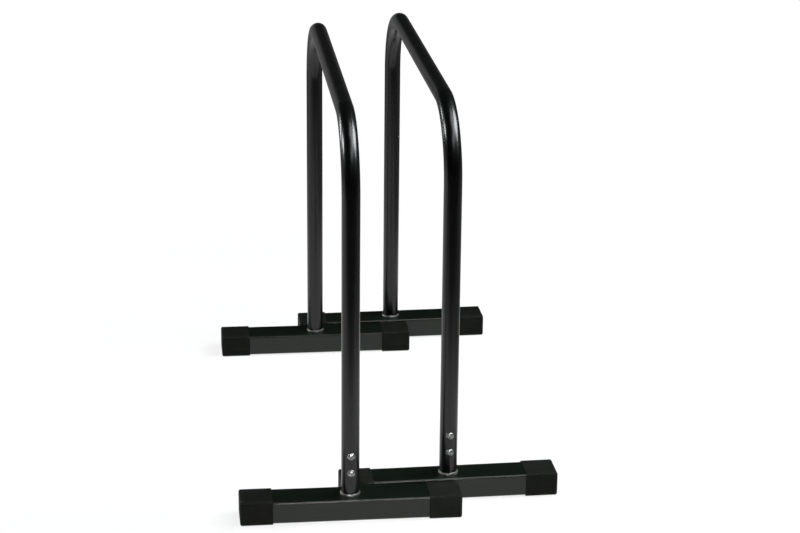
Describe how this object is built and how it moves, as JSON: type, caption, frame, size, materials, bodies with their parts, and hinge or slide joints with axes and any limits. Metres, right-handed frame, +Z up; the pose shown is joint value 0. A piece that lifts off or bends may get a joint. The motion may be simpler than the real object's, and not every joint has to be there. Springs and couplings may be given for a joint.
{
  "type": "parallette bar pair",
  "caption": "Pair of tall free-standing dip bars: bent tube handles bolted on posts of flat cross feet with rubber end caps.",
  "frame": {"origin": "middle of the pair's bounding box, on the floor", "axes": "+Z up, +Y back along the grips from the front feet to the rear feet, +X to the right across the pair"},
  "size_m": [0.5726, 0.9408, 0.72],
  "materials": {
    "gloss_paint": "gloss black powder coat",
    "satin_paint": "satin black powder coat",
    "cap_rubber": "matt black rubber",
    "bolt_steel": "zinc plated steel",
    "weld_metal": "lacquered weld bead"
  },
  "bodies": {
    "left_bar": {"left_handle_tube": "gloss_paint", "left_front_foot_beam": "satin_paint", "left_front_outer_cap": "cap_rubber", "left_front_inner_cap": "cap_rubber", "left_front_post": "gloss_paint", "left_front_weld_bead": "weld_metal", "left_front_bolt_1": "bolt_steel", "left_front_bolt_2": "bolt_steel", "left_front_nut_1": "bolt_steel", "left_front_nut_2": "bolt_steel", "left_rear_foot_beam": "satin_paint", "left_rear_outer_cap": "cap_rubber", "left_rear_inner_cap": "cap_rubber", "left_rear_post": "gloss_paint", "left_rear_weld_bead": "weld_metal", "left_rear_bolt_1": "bolt_steel", "left_rear_bolt_2": "bolt_steel", "left_rear_nut_1": "bolt_steel", "left_rear_nut_2": "bolt_steel"},
    "right_bar": {"right_handle_tube": "gloss_paint", "right_front_foot_beam": "satin_paint", "right_front_outer_cap": "cap_rubber", "right_front_inner_cap": "cap_rubber", "right_front_post": "gloss_paint", "right_front_weld_bead": "weld_metal", "right_front_bolt_1": "bolt_steel", "right_front_bolt_2": "bolt_steel", "right_front_nut_1": "bolt_steel", "right_front_nut_2": "bolt_steel", "right_rear_foot_beam": "satin_paint", "right_rear_outer_cap": "cap_rubber", "right_rear_inner_cap": "cap_rubber", "right_rear_post": "gloss_paint", "right_rear_weld_bead": "weld_metal", "right_rear_bolt_1": "bolt_steel", "right_rear_bolt_2": "bolt_steel", "right_rear_nut_1": "bolt_steel", "right_rear_nut_2": "bolt_steel"}
  },
  "joints": [
    {"name": "bar_spacing", "type": "slide", "parent": "left_bar", "child": "right_bar", "axis": [1, 0, 0], "range_m": [0, 0.4]}
  ]
}
